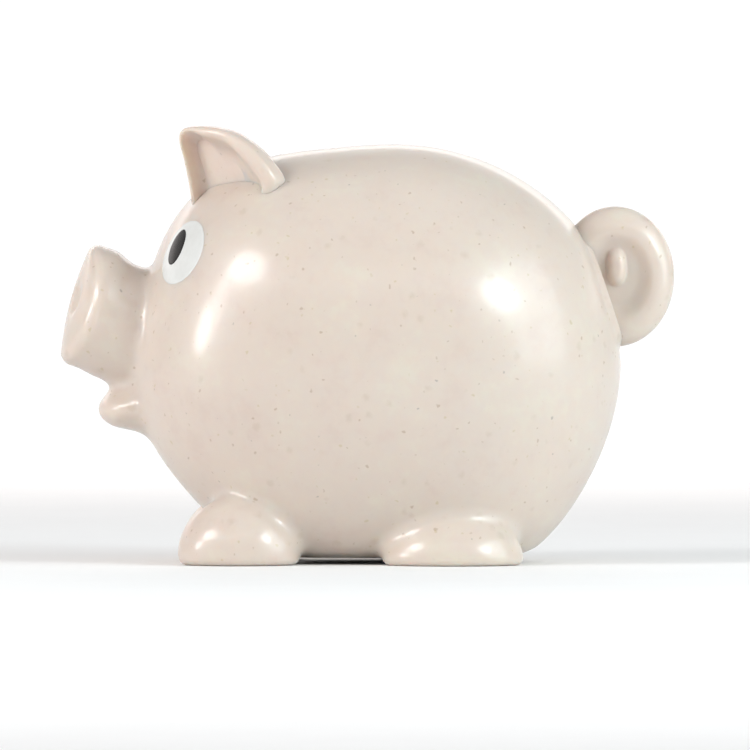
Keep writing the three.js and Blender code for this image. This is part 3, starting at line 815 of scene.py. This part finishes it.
def eye_ink(name, dark, light, roughness, shine):
    """Printed ink: one colour, a little uneven, with a fine orange-peel surface."""
    material, tree, shader, place = new_material(name)
    clouds = group_node(tree, CLOUD, place, Broad=160.0, Fine=900.0).outputs[0]
    tree.links.new(ramp(tree, clouds, [(0.3, dark), (0.7, light)]), shader.inputs["Base Color"])
    peel = calc(tree, "ADD", roughness, calc(tree, "MULTIPLY", clouds, 0.08))
    tree.links.new(peel, shader.inputs["Roughness"])
    bump = node(tree, "ShaderNodeBump", {"Strength": 0.1, "Distance": 0.00008})
    tree.links.new(clouds, bump.inputs["Height"])
    tree.links.new(bump.outputs[0], shader.inputs["Normal"])
    shader.inputs["Specular IOR Level"].default_value = shine
    return material


def soft_plug():
    """The stopper's softer plastic: the same cream, milkier, with a satin skin."""
    material, tree, shader, place = new_material("soft_stopper_plastic")
    clouds = group_node(tree, CLOUD, place, Broad=70.0, Fine=500.0).outputs[0]
    cream = ramp(tree, clouds, [(0.3, (0.66, 0.60, 0.54)), (0.7, (0.74, 0.69, 0.63))])
    tree.links.new(cream, shader.inputs["Base Color"])
    satin = calc(tree, "ADD", 0.36, calc(tree, "MULTIPLY", clouds, 0.2))
    tree.links.new(satin, shader.inputs["Roughness"])
    bump = node(tree, "ShaderNodeBump", {"Strength": 0.2, "Distance": 0.0001})
    tree.links.new(clouds, bump.inputs["Height"])
    tree.links.new(bump.outputs[0], shader.inputs["Normal"])
    shader.inputs["Subsurface Weight"].default_value = 0.3
    shader.inputs["Subsurface Radius"].default_value = (1.0, 0.8, 0.6)
    shader.inputs["Subsurface Scale"].default_value = 0.002
    return material


plastic = straw_plastic()
for piece in (shell, other_shell, left_ear, right_ear, tail):
    piece.data.materials.clear()
    piece.data.materials.append(plastic)
white_ink = eye_ink("eye_white_ink", (0.63, 0.63, 0.61), (0.68, 0.685, 0.67), 0.2, 0.5)
dark_ink = eye_ink("pupil_ink", (0.014, 0.012, 0.012), (0.026, 0.023, 0.022), 0.16, 0.28)
for piece in eye_parts:
    piece.data.materials.append(white_ink if "white" in piece.name else dark_ink)
stopper.data.materials.append(soft_plug())
print("materials:", plastic.name, white_ink.name, dark_ink.name)

# %% [markdown]
# ## Floor, light and camera
#
# The bank stands on a plain pale floor inside a white light tent. Round and long soft boxes make
# the highlights on the face and the flank, a wide one overhead fills in, and two low ones brighten
# the floor in front and behind, so that it fades into the white.


# %% Floor
def level_floor(side=2.5, front=-3.2, back=0.6, steps=24):
    """Points (x, y, 0) of a grid, x from -side to side and y from front to back, in metres."""
    x, y = np.meshgrid(np.linspace(-side, side, steps), np.linspace(front, back, steps), indexing="ij")
    points = np.stack([x, y, 0 * x], -1).reshape(-1, 3)
    return mesh_object("pale_floor", points / MM, wrap_grid(steps, steps, closed=False))


floor = tidy(level_floor())
floor_material, tree, shader, place = new_material("pale_floor")
paper = group_node(tree, CLOUD, place, Broad=6.0, Fine=60.0).outputs[0]
pale = ramp(tree, paper, [(0.3, (0.87, 0.87, 0.87)), (0.7, (0.89, 0.89, 0.89))])
tree.links.new(pale, shader.inputs["Base Color"])
shader.inputs["Roughness"].default_value = 0.7
floor.data.materials.append(floor_material)
print("floor faces:", len(floor.data.polygons))


# %% Lights
WHITE, MIDDLE = (1, 1, 1), (0, 0, 0.04)


def soft_box(name, place, size, power, shape="RECTANGLE", turn=0.0, aim=MIDDLE, tint=WHITE):
    """An area light turned towards a point, and round its own axis by degrees."""
    light = bpy.data.lights.new(name, "AREA")
    light.shape = shape
    light.size, light.size_y = size
    light.energy = power
    light.color = tint
    lamp = bpy.data.objects.new(name, light)
    lamp.location = place
    towards = (Vector(aim) - Vector(place)).to_track_quat("-Z", "Y")
    lamp.rotation_euler = (towards @ Quaternion((0, 0, 1), np.radians(turn))).to_euler()
    bpy.context.scene.collection.objects.link(lamp)


COOL, WARM = (0.86, 0.97, 1.0), (1.0, 0.93, 0.91)
soft_box("left_high", (-0.66, -0.46, 0.48), (0.33, 0.28), 2.7, "ELLIPSE")
soft_box("left_low", (-0.80, -0.22, 0.16), (0.14, 0.16), 0.95, "ELLIPSE")
soft_box("left_strip", (-0.74, -0.32, 0.31), (0.14, 0.34), 1.1, "RECTANGLE", -18)
soft_box("right_core", (0.55, -0.51, 0.36), (0.24, 0.24), 2.2, "DISK", tint=COOL)
soft_box("right_panel", (0.78, -0.34, 0.26), (0.5, 0.8), 4.6, tint=COOL)
soft_box("top_box", (0, -0.1, 0.95), (0.9, 0.9), 0.7)
soft_box("floor_front", (0, -0.66, 0.40), (1.2, 0.3), 0.9, aim=(0, -0.66, 0), tint=WARM)
soft_box("floor_back", (0, 0.72, 0.32), (2.6, 0.34), 4.2, aim=(0, 0.72, 0), tint=WARM)

# %% The light tent
def tent(name, sides, back):
    """White all round, a little brighter behind: sides + (back - sides) x share of looking back."""
    world = bpy.data.worlds.new(name)
    world.use_nodes = True
    tree = world.node_tree
    looking = tree.nodes.new("ShaderNodeTexCoord").outputs["Generated"]
    split = tree.nodes.new("ShaderNodeSeparateXYZ")
    tree.links.new(looking, split.inputs[0])
    share = tree.nodes.new("ShaderNodeMapRange")
    share.interpolation_type = "SMOOTHSTEP"
    share.inputs["From Min"].default_value = 0.7
    share.inputs["From Max"].default_value = 0.95
    share.inputs["To Min"].default_value = sides
    share.inputs["To Max"].default_value = back
    tree.links.new(split.outputs[1], share.inputs["Value"])
    background = tree.nodes["Background"]
    background.inputs["Color"].default_value = (1, 1, 1, 1)
    tree.links.new(share.outputs[0], background.inputs["Strength"])
    return world


bpy.context.scene.world = tent("light_tent", 0.38, 1.05)

# %% Camera
camera_data = bpy.data.cameras.new("camera")
camera_data.sensor_width = 36
DISTANCE, RISE = 2.4, 0.9
AIM = np.array([0.00126, 0.0, 0.03366])
camera_data.lens = 36 * DISTANCE / 0.135
camera = bpy.data.objects.new("camera", camera_data)
camera.location = AIM + DISTANCE * np.array([0, -np.cos(np.radians(RISE)), np.sin(np.radians(RISE))])
camera.rotation_euler = (np.radians(90 - RISE), 0, 0)
camera_data.clip_start = 0.01
bpy.context.scene.collection.objects.link(camera)
bpy.context.scene.camera = camera
bpy.context.scene.view_settings.view_transform = "Standard"
print("camera at", [round(v, 3) for v in camera.location], "lens", round(camera_data.lens, 1))
